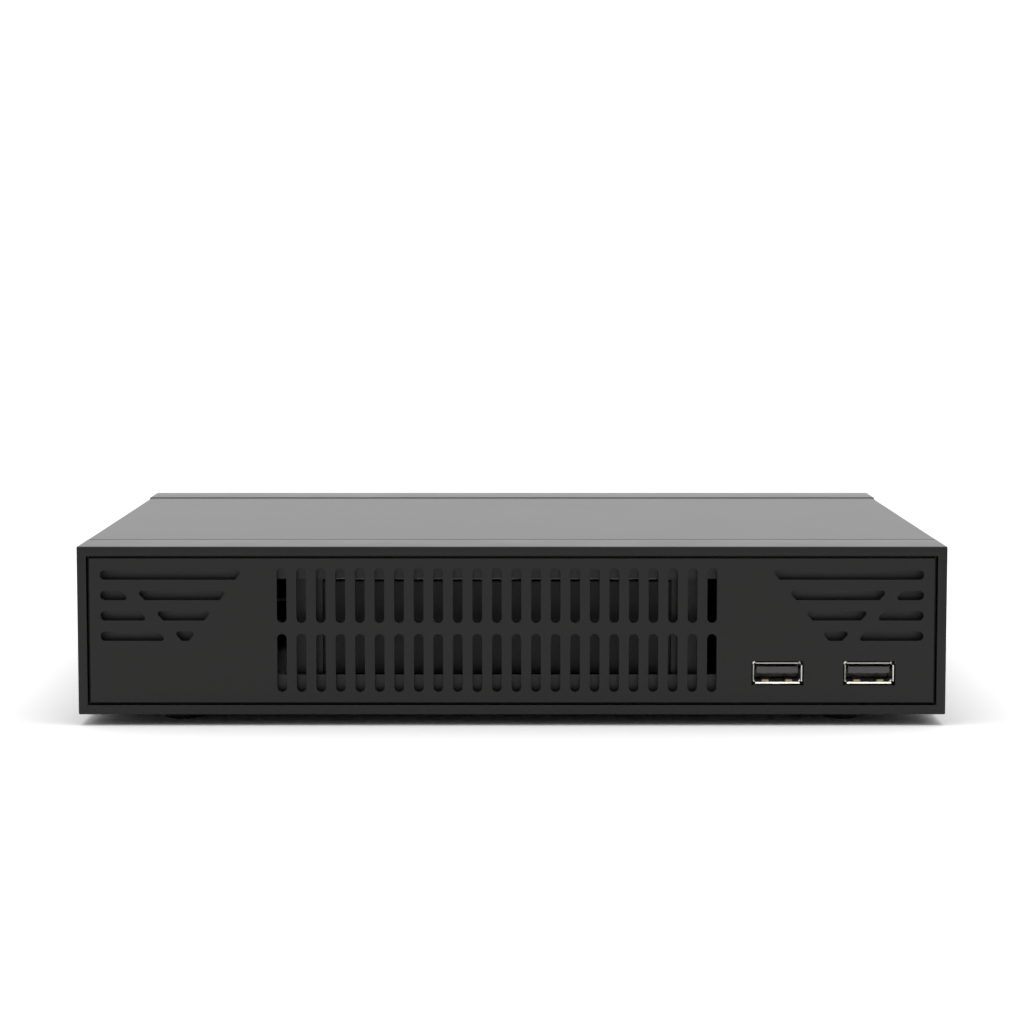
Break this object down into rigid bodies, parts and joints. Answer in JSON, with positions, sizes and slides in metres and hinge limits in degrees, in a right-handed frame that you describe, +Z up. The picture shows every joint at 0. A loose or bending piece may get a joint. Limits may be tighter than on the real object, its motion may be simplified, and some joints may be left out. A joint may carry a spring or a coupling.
{
  "type": "video recorder",
  "caption": "Compact black video recorder: slotted front with side vents and USB sockets, folded steel cover, drive and boards inside, rear video, network and power sockets.",
  "frame": {"origin": "middle of the footprint on the surface that the feet stand on, rear jacks included", "axes": "+X to the right seen from the front, +Y from the front panel to the rear sockets, +Z up"},
  "size_m": [0.2304, 0.211, 0.0479],
  "materials": {
    "casing_plastic": "satin",
    "cover_paint": "satin",
    "sheet_steel": "satin",
    "dark_sheet": "satin",
    "foot_rubber": "matte",
    "screw_black": "satin",
    "screw_zinc": "satin",
    "connector_shell": "gloss",
    "connector_black": "satin",
    "connector_white": "satin",
    "vga_blue": "satin",
    "contact_gold": "gloss",
    "board_green": "gloss",
    "chip_black": "matte",
    "heatsink_black": "matte",
    "cap_aluminium": "satin",
    "inductor_grey": "matte",
    "cell_steel": "satin",
    "drive_alloy": "satin",
    "drive_lid": "satin",
    "disc_mirror": "gloss",
    "magnet_steel": "satin",
    "fan_black": "satin",
    "lead_red": "satin",
    "lead_black": "satin"
  },
  "bodies": {
    "recorder": {"front_frame": "casing_plastic", "rear_frame": "casing_plastic", "rubber_feet": "foot_rubber", "front_panel": "casing_plastic", "panel_screws": "screw_zinc", "front_shield": "sheet_steel", "chassis_tray": "sheet_steel", "top_cover": "cover_paint", "cover_screws": "screw_black", "clinch_nuts": "screw_zinc", "floor_screws": "screw_zinc", "rear_panel": "dark_sheet", "usb_shells": "connector_shell", "usb_tongues": "connector_black", "usb_contacts": "contact_gold", "usb_springs": "contact_gold", "bnc_housings": "connector_black", "bnc_barrels": "connector_shell", "bnc_insulators": "connector_white", "bnc_contacts": "contact_gold", "rca_housing": "connector_black", "rca_barrels": "connector_shell", "rca_insulators": "connector_white", "vga_shell": "connector_shell", "vga_insert": "vga_blue", "vga_jackscrews": "connector_shell", "hdmi_shell": "connector_shell", "hdmi_tongue": "connector_black", "lan_shell": "connector_shell", "lan_insert": "connector_black", "lan_contacts": "contact_gold", "dc_jack": "connector_black", "dc_pin": "connector_shell", "switch_housing": "connector_black", "main_board": "board_green", "board_standoffs": "contact_gold", "soc_package": "chip_black", "soc_heatsink": "heatsink_black", "board_chips": "chip_black", "capacitors": "cap_aluminium", "inductors": "inductor_grey", "cell_holder": "connector_black", "coin_cell": "cell_steel", "drive_cage": "sheet_steel", "drive_grommets": "foot_rubber", "drive_screws": "screw_zinc", "drive_casting": "drive_alloy", "drive_lid": "drive_lid", "drive_magnets": "magnet_steel", "drive_board": "board_green", "lead_plugs": "connector_black", "drive_leads": "lead_red", "fan_lead": "lead_black", "fan_frame": "fan_black"},
    "rotor": {"fan_rotor": "fan_black"},
    "discs": {"drive_platters": "disc_mirror"},
    "heads": {"drive_actuator": "drive_alloy"},
    "rocker": {"power_rocker": "connector_black"}
  },
  "joints": [
    {"name": "fan_spin", "type": "hinge", "parent": "recorder", "child": "rotor", "pos_m": [-0.1078, -0.0105, 0.02535], "axis": [1, 0, 0], "continuous": true},
    {"name": "disc_spin", "type": "hinge", "parent": "recorder", "child": "discs", "pos_m": [-0.004, -0.0433, 0.0236], "axis": [0, 0, 1], "continuous": true},
    {"name": "head_swing", "type": "hinge", "parent": "recorder", "child": "heads", "pos_m": [0.024, 0.0227, 0.0236], "axis": [0, 0, 1], "range_deg": [0, 28]},
    {"name": "power_switch", "type": "hinge", "parent": "recorder", "child": "rocker", "pos_m": [-0.098, 0.091, 0.02635], "axis": [1, 0, 0], "range_deg": [0, 22]}
  ]
}
